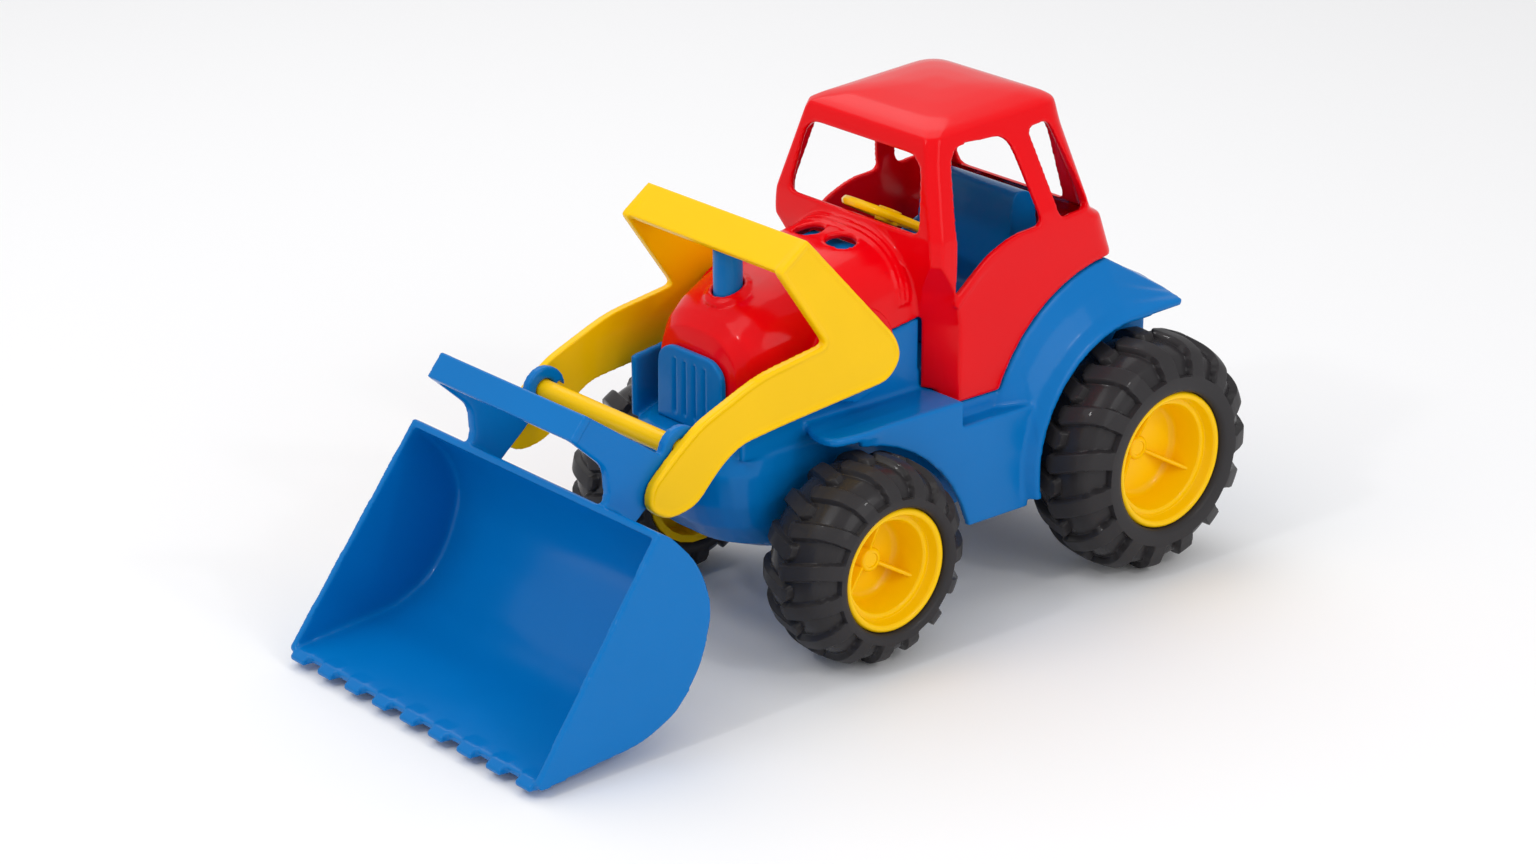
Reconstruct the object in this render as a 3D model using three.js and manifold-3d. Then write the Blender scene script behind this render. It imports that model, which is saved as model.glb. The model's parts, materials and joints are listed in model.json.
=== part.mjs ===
// Toy front-loader tractor, in millimetres, +Z up.
// The tractor faces -Y and +X is its left side. All lengths along Y are measured from
// the front axle, and one group at the end moves the toy so that its frame's origin is
// on the ground under the middle of its outer box.
import * as THREE from 'three';
import { mergeVertices } from 'three/addons/utils/BufferGeometryUtils.js';
import Module from 'manifold-3d';

const wasm = await Module();
wasm.setup();

// ---------------------------------------------------------------- driving dimensions
const GAP = 0.3;                  // clearance kept between touching pieces
const WALL = 2.6;                 // wall of the red moulding
const TUB_WALL = 3;               // wall of the blue chassis
const LONG = 400;                 // longer than the toy: a cutter's length

const TYRE_SIDES = 32;            // flats around a tyre
const RIM_SIDES = 24;
const FLAT = Math.cos(Math.PI / TYRE_SIDES);
const AXLE_R = 2.5;
const AXLE_HALF = 61;
const FRONT = { y: 0, tyreR: 42.5, innerX: 39.6, outerX: 81.5, rimR: 25.6, hubDepth: 14 };
const REAR = { y: 149.1, tyreR: 50.9, innerX: 42.2, outerX: 84, rimR: 29.2, hubDepth: 18 };
for (const end of [FRONT, REAR]) end.z = end.tyreR * FLAT;

const PIVOT = { y: 14.5, z: 117, pinR: 4 };          // loader arms on the body
const CROSSBAR = { y: -77.5, z: 102, r: 4.3 };      // bucket on the loader arms
const ARM_OUTER = 48;
const ARM_THICK = 3.5;
const BODY_HALF = 34.5;           // engine walls and hood side
const CAB_HALF = 49.5;            // cab at its skirt
const SEAT_HALF = 27;
const DECK_Z = 88;                // top of the engine deck
const SPLIT_Y = 94.2;             // the front node of the chassis ends here
const MUDGUARD_X = 41.5;          // outside this the rear mudguards are nodes of their own
const SHELF_Z = 92.5;             // top of the front mudguards
const STEP_Z = 81.5;              // top of the door steps
const SIDE_X = 57;                // outer face of the steps
const SILL_Z = 37.5;              // underside of the steps
const FLOOR_Z = 100;              // cab floor
const SKIRT_Z = 88.5;             // bottom edge of the cab beside the door
const TUB_HALF = 38.9;
const DECK = { r: 71.7, lift: 9.4 };      // rear deck under the cab; its centre above the axle
const FENDER = {                  // rings of [x, radius, centre above the rear axle]
  rings: [[TUB_HALF - 2, DECK.r, DECK.lift], [CAB_HALF, DECK.r, DECK.lift],
    [53, 65.2, 5.4], [57, 60, 3], [62, 56.3, 1.8]],
  thick: 3,
  rearY: 174,
};
const BUCKET = { lipHalf: 80.7, topHalf: 77.3, topZ: 88, wall: 3 };
const CLIP = { r: 9.6, x0: 40, x1: 43.9 };          // bucket cheeks, inside the arms
const TOOTH = { count: 9, pitch: 18.2, width: 9, tipY: -178.2 };
const VENT = { x: 9.6, y: 32.2, halfX: 6.8, halfY: 5.8 };   // oval holes in the hood
const BOSS = { r: 17.5, baseR: 19.5, faceX: 40 };   // round bearing of a loader pin
const PIN_GAP = 0.35;             // radial clearance of everything that turns
const EXHAUST = { y: -18, r: 6, base: 122, top: 158 };
const SCREW_R = 1.5;
const HOOD_SCREW = { y: 2, headZ: DECK_Z - 6, postZ: DECK_Z + GAP, topZ: 140 };
const CAB_SCREW = { y: 140, headZ: 124.8, postZ: 132.2, topZ: 143 };
const SCREWS = [
  { name: 'hood_screw_left', x: 22, ...HOOD_SCREW },
  { name: 'hood_screw_right', x: -22, ...HOOD_SCREW },
  { name: 'cab_screw_left', x: 26, ...CAB_SCREW },
  { name: 'cab_screw_right', x: -26, ...CAB_SCREW },
];

// The seam between chassis and hood rises gently to the rear, through the arm pivot.
const seamZ = (y) => PIVOT.z + (y - PIVOT.y) * 0.14;

// ---------------------------------------------------------------- materials
const plastic = (color) => new THREE.MeshStandardMaterial({ color, roughness: 0.3, metalness: 0 });
const RED = plastic(0xe2101c);
const BLUE = plastic(0x0068b4);
const YELLOW = plastic(0xfacc10);
const TYRE = new THREE.MeshStandardMaterial({ color: 0x2e2c2e, roughness: 0.6, metalness: 0 });
const STEEL = new THREE.MeshStandardMaterial({ color: 0xb9bcc0, roughness: 0.35, metalness: 1 });

// ---------------------------------------------------------------- geometry helpers
// A closed three.js geometry as a manifold solid, whichever way round it was wound.
function solid(geometry) {
  const bare = geometry.index ? geometry.toNonIndexed() : geometry.clone();
  bare.deleteAttribute('normal');
  bare.deleteAttribute('uv');
  const merged = mergeVertices(bare, 1e-4);
  const vertProperties = new Float32Array(merged.attributes.position.array);
  const triVerts = new Uint32Array(merged.index.array);
  const made = new wasm.Manifold(new wasm.Mesh({ numProp: 3, vertProperties, triVerts }));
  if (made.volume() > 0) return made;
  return new wasm.Manifold(new wasm.Mesh({ numProp: 3, vertProperties, triVerts: triVerts.reverse() }));
}

// A solid as a named mesh.
function part(name, body, material) {
  const mesh = body.getMesh();
  const geometry = new THREE.BufferGeometry();
  geometry.setAttribute('position', new THREE.BufferAttribute(mesh.vertProperties, 3));
  geometry.setIndex(new THREE.BufferAttribute(mesh.triVerts, 1));
  const object = new THREE.Mesh(geometry, material);
  object.name = name;
  return object;
}

const join = (solids) => solids.reduce((sum, next) => sum.add(next));
const asShape = (points) => new THREE.Shape(points.map(([a, b]) => new THREE.Vector2(a, b)));

// The outline is (y, z), and the prism runs from x0 to x1.
function prismX(points, x0, x1, steps = 1) {
  const settings = { depth: x1 - x0, steps, bevelEnabled: false };
  const geometry = new THREE.ExtrudeGeometry(asShape(points), settings);
  geometry.applyMatrix4(new THREE.Matrix4().set(0, 0, 1, x0, 1, 0, 0, 0, 0, 1, 0, 0, 0, 0, 0, 1));
  return solid(geometry);
}

// The outline is (x, z), and the prism runs from y0 to y1.
function prismY(points, y0, y1) {
  const geometry = new THREE.ExtrudeGeometry(asShape(points), { depth: y1 - y0, bevelEnabled: false });
  return solid(geometry.rotateX(Math.PI / 2).translate(0, y1, 0));
}

// The outline is (x, y), and the prism runs from z0 to z1.
function prismZ(points, z0, z1) {
  const geometry = new THREE.ExtrudeGeometry(asShape(points), { depth: z1 - z0, bevelEnabled: false });
  return solid(geometry.translate(0, 0, z0));
}

function box(x0, x1, y0, y1, z0, z1) {
  const geometry = new THREE.BoxGeometry(x1 - x0, y1 - y0, z1 - z0);
  return solid(geometry.translate((x0 + x1) / 2, (y0 + y1) / 2, (z0 + z1) / 2));
}

function rodX(radius, y, z, x0, x1, sides = 24, endRadius = radius) {
  const geometry = new THREE.CylinderGeometry(radius, endRadius, x1 - x0, sides);
  return solid(geometry.rotateZ(Math.PI / 2).rotateX(Math.PI / sides).translate((x0 + x1) / 2, y, z));
}

function rodZ(radius, x, y, z0, z1, sides = 16) {
  const geometry = new THREE.CylinderGeometry(radius, radius, z1 - z0, sides);
  return solid(geometry.rotateX(Math.PI / 2).translate(x, y, (z0 + z1) / 2));
}

// A profile of (radius, x) turned about the X axis.
function turned(profile, y, z, sides, flip) {
  const points = profile.map(([r, x]) => new THREE.Vector2(r, x));
  const geometry = new THREE.LatheGeometry(points, sides);
  geometry.rotateZ(flip ? Math.PI / 2 : -Math.PI / 2).rotateX(Math.PI / sides);
  return solid(geometry.translate(0, y, z));
}

// A closed skin through rings of the same number of points, with flat ends.
function loft(rings) {
  const count = rings[0].length;
  const position = rings.flat(2);
  const index = [];
  rings.slice(1).forEach((_, k) => {
    for (let i = 0; i < count; i += 1) {
      const j = (i + 1) % count;
      const [a, b] = [k * count + i, k * count + j];
      index.push(a, b, b + count, a, b + count, a + count);
    }
  });
  [0, rings.length - 1].forEach((k) => {
    const centre = [0, 1, 2].map((axis) => rings[k].reduce((sum, p) => sum + p[axis] / count, 0));
    const middle = position.length / 3;
    position.push(...centre);
    for (let i = 0; i < count; i += 1) {
      const [a, b] = [k * count + i, k * count + (i + 1) % count];
      index.push(middle, k === 0 ? b : a, k === 0 ? a : b);
    }
  });
  const geometry = new THREE.BufferGeometry();
  geometry.setAttribute('position', new THREE.Float32BufferAttribute(position, 3));
  geometry.setIndex(index);
  return solid(geometry);
}

// Points on a circle in a plane, angles in degrees, both ends included.
function arc(a, b, radius, from, to, steps) {
  return Array.from({ length: steps + 1 }, (_, i) => {
    const angle = THREE.MathUtils.degToRad(from + ((to - from) * i) / steps);
    return [a + radius * Math.cos(angle), b + radius * Math.sin(angle)];
  });
}

// An outline with its corners rounded: each corner is [a, b, radius]. A radius never
// takes more than half of the shorter side beside it.
function rounded(corners, steps = 4) {
  const at = (i) => new THREE.Vector2(...corners[(i + corners.length) % corners.length].slice(0, 2));
  return corners.flatMap(([a, b, radius = 0], i) => {
    if (!radius) return [[a, b]];
    const corner = at(i);
    const [before, after] = [at(i - 1).sub(corner), at(i + 1).sub(corner)];
    const reach = Math.min(radius, before.length() * 0.48, after.length() * 0.48);
    const start = corner.clone().add(before.setLength(reach));
    const end = corner.clone().add(after.setLength(reach));
    return new THREE.QuadraticBezierCurve(start, corner, end).getPoints(steps).map((p) => [p.x, p.y]);
  });
}

const mirrored = (body) => body.mirror([1, 0, 0]);
const bothSides = (body) => body.add(mirrored(body));

// ---------------------------------------------------------------- chassis
// One level of the belly: a plan outline with a round front, at height z.
function bellyRing({ z, half, front }, inset, lift) {
  const [h, f, back] = [half - inset, front + inset, 52];
  const round = Math.min(26, h - 2);
  const left = arc(h - round, f + round, round, 0, -90, 7);
  const right = arc(-h + round, f + round, round, -90, -180, 7);
  return [[h, back], ...left, ...right, [-h, back]].reverse().map(([x, y]) => [x, y, z + lift]);
}

const BELLY = [
  { z: 36, half: 24, front: -6 }, { z: 39, half: 30, front: -24 },
  { z: 45, half: 33.5, front: -38 }, { z: 54, half: 35.5, front: -46 },
  { z: 64, half: 36, front: -50.5 }, { z: 77, half: 36, front: -52 },
  { z: 84, half: 35.2, front: -50 }, { z: DECK_Z, half: 31.5, front: -46 },
];

const pinBoss = () => rodX(BOSS.r, PIVOT.y, PIVOT.z, BODY_HALF - 3, BOSS.faceX, 32, BOSS.baseR);
const pinHole = () => rodX(PIVOT.pinR + PIN_GAP, PIVOT.y, PIVOT.z, -LONG, LONG, 16);

function chassisSide() {
  const arch = arc(-5, 19, 67.6, 84, 18, 8);
  const panel = [...arch, [60, SILL_Z], [93, SILL_Z], [93, STEP_Z], [55, STEP_Z], [53, SHELF_Z],
    [4, SHELF_Z], [2, 87]];
  const shelfPlan = rounded([[33, -7], [45, -13, 6], [56, -12, 8], [SIDE_X + 1, 6, 6],
    [SIDE_X, 14], [SIDE_X, 56], [33, 56]]);
  const wall = [[-40, DECK_Z - 4], [-40, seamZ(-40) + 4], [52, seamZ(52) + 4], [52, DECK_Z - 4]];
  return join([
    prismX(panel, SIDE_X - TUB_WALL, SIDE_X),
    prismZ(shelfPlan, SHELF_Z - 3.7, SHELF_Z),
    box(33, SIDE_X, 53, 56, STEP_Z - TUB_WALL, SHELF_Z),
    box(33, SIDE_X, 53, 94, STEP_Z - TUB_WALL, STEP_Z),
    box(33, SIDE_X, 90, 93, SILL_Z, STEP_Z - 1),
    box(CAB_HALF - 4, CAB_HALF - 1, 55, 91.5, STEP_Z - 1, SKIRT_Z - GAP),
    box(30, CAB_HALF - WALL - 0.5, 66, 94, FLOOR_Z - TUB_WALL, FLOOR_Z),
    prismX(wall, BODY_HALF - TUB_WALL, BODY_HALF),
    pinBoss(),
  ]);
}

// A mudguard over the rear tyre that widens its radius towards the cab and then runs
// on under it as the rear deck. The deck falls towards its outer edge behind the cab.
function fender() {
  const { rings, thick, rearY } = FENDER;
  const rearZ = (x) => 117 - Math.max(0, x - 23) * 0.18;
  const ray = arc(0, 0, 1, 192, 96, 12);
  const outline = [...ray, [9, 1], [9, 0], ...ray.map(([a, b]) => [a / 2, b / 2]).reverse()];
  return prismX(outline, 0, rings.length - 1, rings.length - 1).warp((v) => {
    const [x, radius, lift] = rings[Math.round(v[0])];
    v[0] = x;
    if (v[1] > 8) {
      v[1] = rearY;
      v[2] = rearZ(x) - (1 - v[2]) * thick;
      return;
    }
    const share = (radius - (Math.hypot(v[1], v[2]) < 0.75 ? thick : 0)) / Math.hypot(v[1], v[2]);
    v[1] = REAR.y + v[1] * share;
    v[2] = REAR.z + lift + v[2] * share;
  });
}

// The side of the tub behind the engine. Its top keeps under the skin of the rear deck, and
// the inner outline reaches through the underside, which is left open.
function tubOutline(inset) {
  const top = arc(REAR.y, REAR.z + DECK.lift, DECK.r - 0.8 - inset, 97, 145, 8);
  const under = SILL_Z - 1 - inset * 2;
  return [[48 + inset, under], [172 - inset, under], [176 - inset, 60], [176 - inset, 108 - inset],
    [174 - inset, 113.5 - inset], [166 - inset, 118.2 - inset], ...top,
    [84, FLOOR_Z - inset], [48 + inset, FLOOR_Z - inset]];
}

// The chassis in four nodes: the front, the rear tub and the two rear mudguards.
function chassis() {
  const belly = loft(BELLY.map((level) => bellyRing(level, 0, 0)));
  const roomLift = ({ z }) => (z < 70 ? TUB_WALL : -TUB_WALL);
  const bellyRoom = loft(BELLY.map((level) => bellyRing(level, TUB_WALL, roomLift(level))));
  const cabFloorHalf = BODY_HALF - 1;
  const front = box(-cabFloorHalf, cabFloorHalf, 48, 95, SILL_Z - 1, FLOOR_Z);
  const rear = prismX(tubOutline(0), -TUB_HALF, TUB_HALF)
    .subtract(box(-LONG, LONG, 0, 89, 0, LONG));
  const frontHalf = cabFloorHalf - TUB_WALL;
  const rearHalf = TUB_HALF - TUB_WALL;
  const room = prismX(tubOutline(TUB_WALL), -rearHalf, rearHalf)
    .subtract(bothSides(box(frontHalf, LONG, 0, 91, 0, LONG)))
    .subtract(box(-SEAT_HALF - 4, SEAT_HALF + 4, 0, 135, FLOOR_Z - TUB_WALL, LONG));
  const seatWell = box(-SEAT_HALF - 0.6, SEAT_HALF + 0.6, 60, 131, FLOOR_Z, LONG);
  const axleBeams = [FRONT, REAR].map(({ y, z, innerX }) => (
    box(1 - innerX, innerX - 1, y - 7, y + 7, z - 6, z + 6)));
  const axleBores = [FRONT, REAR].map(({ y, z }) => rodX(AXLE_R + PIN_GAP, y, z, -LONG, LONG, 16));
  const shell = join([belly, front, rear, bothSides(chassisSide())]).subtract(bellyRoom).subtract(room);
  const overSeam = prismX([[-60, seamZ(-60)], [56, seamZ(56)], [56, LONG], [-60, LONG]],
    -BOSS.faceX - 1, BOSS.faceX + 1);
  const screwHoles = SCREWS.map(({ x, y, headZ }) => rodZ(SCREW_R + GAP, x, y, headZ, headZ + 8));
  const whole = join([shell, ...axleBeams, bothSides(fender())])
    .subtract(overSeam)
    .subtract(seatWell)
    .subtract(pinHole())
    .subtract(join([...axleBores, ...screwHoles]));
  const rearHalfOfToy = whole.subtract(box(-LONG, LONG, -LONG, SPLIT_Y + GAP, 0, LONG));
  const mudguard = rearHalfOfToy.subtract(box(-LONG, MUDGUARD_X + GAP, 0, LONG, 0, LONG));
  return {
    front: whole.subtract(box(-LONG, LONG, SPLIT_Y, LONG, 0, LONG)),
    rear: rearHalfOfToy.subtract(bothSides(box(MUDGUARD_X, LONG, 0, LONG, 0, LONG))),
    leftMudguard: mudguard,
    rightMudguard: mirrored(mudguard),
  };
}

// ---------------------------------------------------------------- hood and cab
// One arched section of the hood at y, its sides straight down to the bottom edge.
function hoodRing({ y, half, top }, inset) {
  const [h, t] = [half - inset, top - inset];
  const shoulder = t - Math.min(24, h * 0.8);
  const arch = Array.from({ length: 19 }, (_, i) => {
    const angle = (Math.PI * i) / 18;
    const c = Math.cos(angle);
    return [h * Math.sign(c) * Math.abs(c) ** 0.72, shoulder + (t - shoulder) * Math.sin(angle) ** 0.8];
  });
  return [[h, 60], ...arch, [-h, 60]].map(([x, z]) => [x, y, z]);
}

const HOOD = [
  { y: -35, half: 19, top: 121 }, { y: -33.5, half: 23, top: 128 }, { y: -29, half: 26.5, top: 134 },
  { y: -22, half: 29, top: 139 }, { y: -12, half: 31.5, top: 143 }, { y: 0, half: 33.5, top: 147 },
  { y: 20, half: BODY_HALF, top: 151.5 }, { y: 40, half: BODY_HALF, top: 154.5 },
  { y: 56, half: BODY_HALF, top: 157 },
];
const NOSE_ROOM = { y: -32.4, half: 21.5, top: 126.5 };
const COWL_ROOM = { y: 70, half: BODY_HALF, top: 157 };

// One level of the cab: a plan outline with slanted front corners and round rear ones.
function cabRing({ z, half, cornerX, front, side, rear }, inset) {
  const round = Math.min(9, half - 4);
  const h = half - inset;
  const back = arc(h - round, rear - inset - round, round, 0, 90, 5);
  const plan = [[cornerX - inset * 0.6, front + inset], [h, side + inset * 0.4], ...back];
  const whole = [...plan, ...plan.map(([x, y]) => [-x, y]).reverse()];
  return whole.map(([x, y]) => [x, y, z]);
}

const CAB = [
  { z: SKIRT_Z, half: CAB_HALF, cornerX: 34.5, front: 52, side: 60.5, rear: 152 },
  { z: 121, half: CAB_HALF, cornerX: 34.5, front: 52, side: 60.5, rear: 152 },
  { z: 135, half: CAB_HALF, cornerX: 38, front: 49.5, side: 58, rear: 147.7 },
  { z: 147.5, half: 50, cornerX: 46.4, front: 46.2, side: 49.8, rear: 142.6 },
  { z: 150.7, half: 50, cornerX: 46.4, front: 46, side: 49.6, rear: 141 },
  { z: 153.7, half: 50, cornerX: 46.4, front: 46.1, side: 49.7, rear: 135.8 },
  { z: 159, half: 49.6, cornerX: 46, front: 46.3, side: 49.9, rear: 133.8 },
  { z: 188, half: 41.2, cornerX: 37.6, front: 51, side: 54.6, rear: 126.3 },
  { z: 195.6, half: 39.4, cornerX: 35.6, front: 52.5, side: 56.6, rear: 125.2 },
  { z: 198, half: 38.6, cornerX: 34.6, front: 53.5, side: 57.6, rear: 124.6 },
  { z: 199.8, half: 35.8, cornerX: 31, front: 56.5, side: 61.5, rear: 122.4 },
  { z: 201.7, half: 28.8, cornerX: 24, front: 64, side: 69.5, rear: 116.5 },
  { z: 203, half: 19, cornerX: 15, front: 74, side: 80, rear: 108 },
  { z: 203.8, half: 8, cornerX: 6, front: 86, side: 89, rear: 98 },
];
const ROOF_LEVEL = 8;             // from this level up the room stays a wall below the skin

// The roof rises gently to the rear.
const tiltRoof = (body) => body.warp((v) => {
  const share = THREE.MathUtils.clamp((v[2] - 150) / 40, 0, 1);
  v[2] += share * (v[1] - 90) * 0.06;
});

function cabOpenings() {
  const windscreen = rounded([[-39.2, 158.6, 5], [39.2, 158.6, 5], [34, 188.8, 8], [-34, 188.8, 8]]);
  const rearWindow = rounded([[-32, 154, 5], [32, 154, 5], [28.5, 190, 7], [-28.5, 190, 7]]);
  const door = rounded([[58.2, 133.5], [57.8, 160.8], [62.8, 192, 8], [92.8, 191.6, 8],
    [104.3, 153.5, 4], [90, 153, 8], [75, 147.1, 6], [64.8, 139, 5]]);
  const quarter = rounded([[103.8, 191.6, 3.5], [115.3, 193, 4], [130.8, 155.8, 4], [114, 154.1, 4]]);
  return join([
    prismY(windscreen, 30, 58),
    prismY(rearWindow, 112, 165),
    prismX(door, -LONG, LONG),
    prismX(quarter, -LONG, LONG),
  ]);
}

function cabAndHood() {
  const hoodSkin = loft(HOOD.map((ring) => hoodRing(ring, 0)));
  const hoodRoom = loft([NOSE_ROOM, ...HOOD.slice(2), COWL_ROOM].map((ring) => hoodRing(ring, WALL)));
  const cabSkin = tiltRoof(loft(CAB.map((level) => cabRing(level, 0))));
  const roomZ = (z, i) => (i === 0 ? z - 10 : z - (i >= ROOF_LEVEL ? WALL : 0));
  const cabRoom = tiltRoof(loft(CAB.map((level, i) => cabRing({ ...level, z: roomZ(level.z, i) }, WALL))));
  const posts = join(SCREWS.map(({ x, y, postZ, topZ }) => rodZ(4, x, y, postZ, topZ)));
  const pilots = join(SCREWS.map(({ x, y, postZ }) => rodZ(SCREW_R + GAP, x, y, postZ, postZ + 14)));

  const seamEnd = 52.5;
  const seamTop = seamZ(seamEnd) + GAP;
  const seam = [[-19, 60], [-19, seamZ(-19) + GAP], [seamEnd, seamTop], [seamEnd, 60]];
  const underSeam = prismX(seam, -BODY_HALF - 12, BODY_HALF + 12)
    .add(box(-BODY_HALF - GAP, BODY_HALF + GAP, 50, 66, 60, seamTop));
  const underShelf = box(-LONG, LONG, 40, 56 + GAP, 0, SHELF_Z + GAP);
  const underNose = box(-LONG, LONG, -LONG, 40, 0, DECK_Z + 3);
  const deckZ = REAR.z + DECK.lift;
  const overFender = rodX(DECK.r + 0.7, REAR.y, deckZ, -LONG, LONG, 48);
  const behind = box(-LONG, LONG, REAR.y, LONG, 0, deckZ + DECK.r + 0.7);
  const oval = arc(0, 0, 1, 0, 330, 11);
  const holes = join([-VENT.x, VENT.x].map((x) => prismZ(
    oval.map(([a, b]) => [x + a * VENT.halfX, VENT.y + b * VENT.halfY]), 120, 200)));

  return join([hoodSkin, cabSkin, bothSides(pinBoss())])
    .subtract(hoodRoom)
    .subtract(cabRoom)
    .add(posts)
    .subtract(join([underSeam, underShelf, underNose, overFender, behind]))
    .subtract(cabOpenings())
    .subtract(join([holes, pilots, pinHole(), rodZ(EXHAUST.r + GAP, 0, EXHAUST.y, 110, 200)]));
}

// ---------------------------------------------------------------- inside pieces
function screw({ x, y, headZ }) {
  return rodZ(3, x, y, headZ - 1, headZ + 1.5 - GAP, 12).add(rodZ(SCREW_R, x, y, headZ, headZ + 14, 12));
}

// The block under the hood. It shows through the oval holes and has a socket for the exhaust.
function engineBlock() {
  const side = [[-32, DECK_Z + GAP], [-32, 110], [-25, 126], [20, 146.3], [41, 149], [46, DECK_Z + GAP]];
  const under = [[-29, 60], [-29, 107], [-25, 114], [-8, 118], [0, 131], [20, 142], [38, 145], [43, 60]];
  return prismX(side, -16.5, 16.5)
    .subtract(rodZ(EXHAUST.r + GAP, 0, EXHAUST.y, EXHAUST.base - GAP, 200))
    .subtract(prismX(under, -13.5, 13.5));
}

function exhaustPipe() {
  const { y, r, base, top } = EXHAUST;
  return rodZ(r, 0, y, base, top, 18).subtract(rodZ(r - 1.8, 0, y, top - 10, top + 5, 18));
}

// The grille stands in front of the nose, with upright grooves and a chamfered top.
function grille() {
  const [half, frontY, backY] = [20, -38, -35.3];
  const face = rounded([[-half, DECK_Z + GAP], [half, DECK_Z + GAP], [half - 0.5, 115, 4],
    [half - 7, 119.5, 3], [-half + 7, 119.5, 3], [-half + 0.5, 115, 4]], 3);
  const grooves = [-9, -3, 3, 9].map((x) => box(x - 0.7, x + 0.7, frontY - 1, frontY + 1, 92, 115));
  return prismY(face, frontY, backY).subtract(join(grooves));
}

function seat() {
  const side = rounded([[74, FLOOR_Z + GAP], [74, 120, 5], [104, 117, 4], [110, 161, 5],
    [121, 159, 5], [130, FLOOR_Z + GAP]]);
  const under = [[77, 60], [77, 116.5], [106.3, 113.8], [112.3, 157.6], [118.4, 156], [126.6, 60]];
  const roomHalf = SEAT_HALF - TUB_WALL;
  return prismX(side, -SEAT_HALF, SEAT_HALF).subtract(prismX(under, -roomHalf, roomHalf));
}

const WHEEL_TILT = THREE.MathUtils.degToRad(28);
const STEERING = { y: 66, z: 153.2, r: 18, tube: 2.2, column: 44 };

// Placed on the steering axis: the local +Z axis is the column, the origin the hub.
function onColumn(body) {
  const degrees = -THREE.MathUtils.radToDeg(WHEEL_TILT);
  return body.rotate([degrees, 0, 0]).translate([0, STEERING.y, STEERING.z]);
}

function steeringWheel() {
  const { r, tube } = STEERING;
  const ring = solid(new THREE.TorusGeometry(r, tube, 6, 24));
  const spokes = [0, 1, 2].map((i) => {
    const spoke = new THREE.BoxGeometry(r, 4, 2.6).translate(r / 2, 0, 0);
    return solid(spoke.rotateZ(Math.PI / 2 + (i * Math.PI * 2) / 3));
  });
  return onColumn(join([ring, ...spokes, rodZ(5, 0, 0, -3, 3)]));
}

function steeringColumn() {
  const foot = rodZ(3.5, 0, 0, -STEERING.column, -3 - GAP);
  return onColumn(foot.add(rodZ(7, 0, 0, -STEERING.column, -STEERING.column + 8)))
    .subtract(box(-LONG, LONG, -LONG, LONG, 0, FLOOR_Z + GAP))
    .subtract(box(-LONG, LONG, -LONG, 47, 0, LONG));
}

// ---------------------------------------------------------------- loader frame
// The outline of an arm as (y, z, corner radius).
const ARM = [
  [-18.7, 173.5, 2], [27.5, 124, 6], [30.5, 115, 6], [24, 106.5, 7], [-32, 101, 10], [-52, 98.5, 8],
  [-62, 92, 6], [-74, 79.5, 5], [-88, 77, 8], [-97.5, 84, 5], [-96, 92.5, 5], [-84, 103, 6],
  [-72, 112, 6], [-42, 124, 8], [-8.7, 129, 3], [-33, 163.3, 2],
];

function loaderFrame() {
  const arm = prismX(rounded(ARM, 3), ARM_OUTER - ARM_THICK, ARM_OUTER);
  const handleSide = [[-18.7, 173.5], [-31.8, 163.6], [-29.8, 161], [-16.6, 170.7]];
  const handle = prismX(handleSide, -ARM_OUTER, ARM_OUTER);
  const bar = rodX(CROSSBAR.r, CROSSBAR.y, CROSSBAR.z, 1 - ARM_OUTER, ARM_OUTER - 1, 20);
  const pin = rodX(PIVOT.pinR, PIVOT.y, PIVOT.z, 30, ARM_OUTER - 1, 16);
  return join([bothSides(arm.add(pin)), handle, bar]);
}

// ---------------------------------------------------------------- bucket
// The outside of the bucket's back and floor as (y, z), from its top edge to its lip.
const BACK = [
  [-115.4, 89], [-108.3, 84], [-99.3, 73.5], [-94, 62.4], [-92.4, 50.5], [-95.5, 38.5], [-100.2, 28.2],
  [-108.6, 18], [-116.6, 12.9], [-128.8, 8.4], [-147.5, 6.7], [-174.5, 3.8],
];

function bucketShell() {
  const half = BUCKET.lipHalf;
  const outer = prismX([...BACK, [-176.3, 6.6]], -half, half);
  const inner = [...BACK.map(([y, z], i) => {
    const before = BACK[Math.max(i - 1, 0)];
    const after = BACK[Math.min(i + 1, BACK.length - 1)];
    const normal = new THREE.Vector2(after[1] - before[1], before[0] - after[0]).setLength(BUCKET.wall);
    return [y + normal.x, z + normal.y];
  }), [-195, 9.5], [-135, 101]];
  const room = prismX(inner, BUCKET.wall - half, half - BUCKET.wall);
  return outer.subtract(room).warp((v) => {
    v[0] *= 1 - (1 - BUCKET.topHalf / half) * (v[2] / BUCKET.topZ);
  });
}

function bucketTeeth() {
  const side = [[-170, 4.6], [-172, 3.3], [TOOTH.tipY, 2.8], [TOOTH.tipY, 5.2], [-174, 7.4], [-170, 7.4]];
  return join(Array.from({ length: TOOTH.count }, (_, i) => {
    const x = (i - (TOOTH.count - 1) / 2) * TOOTH.pitch;
    return prismX(side, x - TOOTH.width / 2, x + TOOTH.width / 2);
  }));
}

// A cheek plate on each side carries the lever and clips over the crossbar.
function bucketCheek() {
  const { x0, x1 } = CLIP;
  const plate = rounded([[-131, 119.5, 2], [-124, 128, 2], [-87, 102], [-80, 104], [-79, 98],
    [-86, 90, 4], [-102.5, 76], [-115, 86], [-113, 93], [-114, 104, 4]]);
  const clip = rodX(CLIP.r, CROSSBAR.y, CROSSBAR.z, x0, x1, 20);
  const bore = rodX(CROSSBAR.r + PIN_GAP, CROSSBAR.y, CROSSBAR.z, x0 - 1, x1 + 1, 20);
  const mouth = prismX([[-79.5, 99], [-70, 104.5], [-58, 88], [-70, 84]], x0 - 1, x1 + 1);
  return prismX(plate, x0, x1).add(clip).subtract(bore).subtract(mouth);
}

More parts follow.
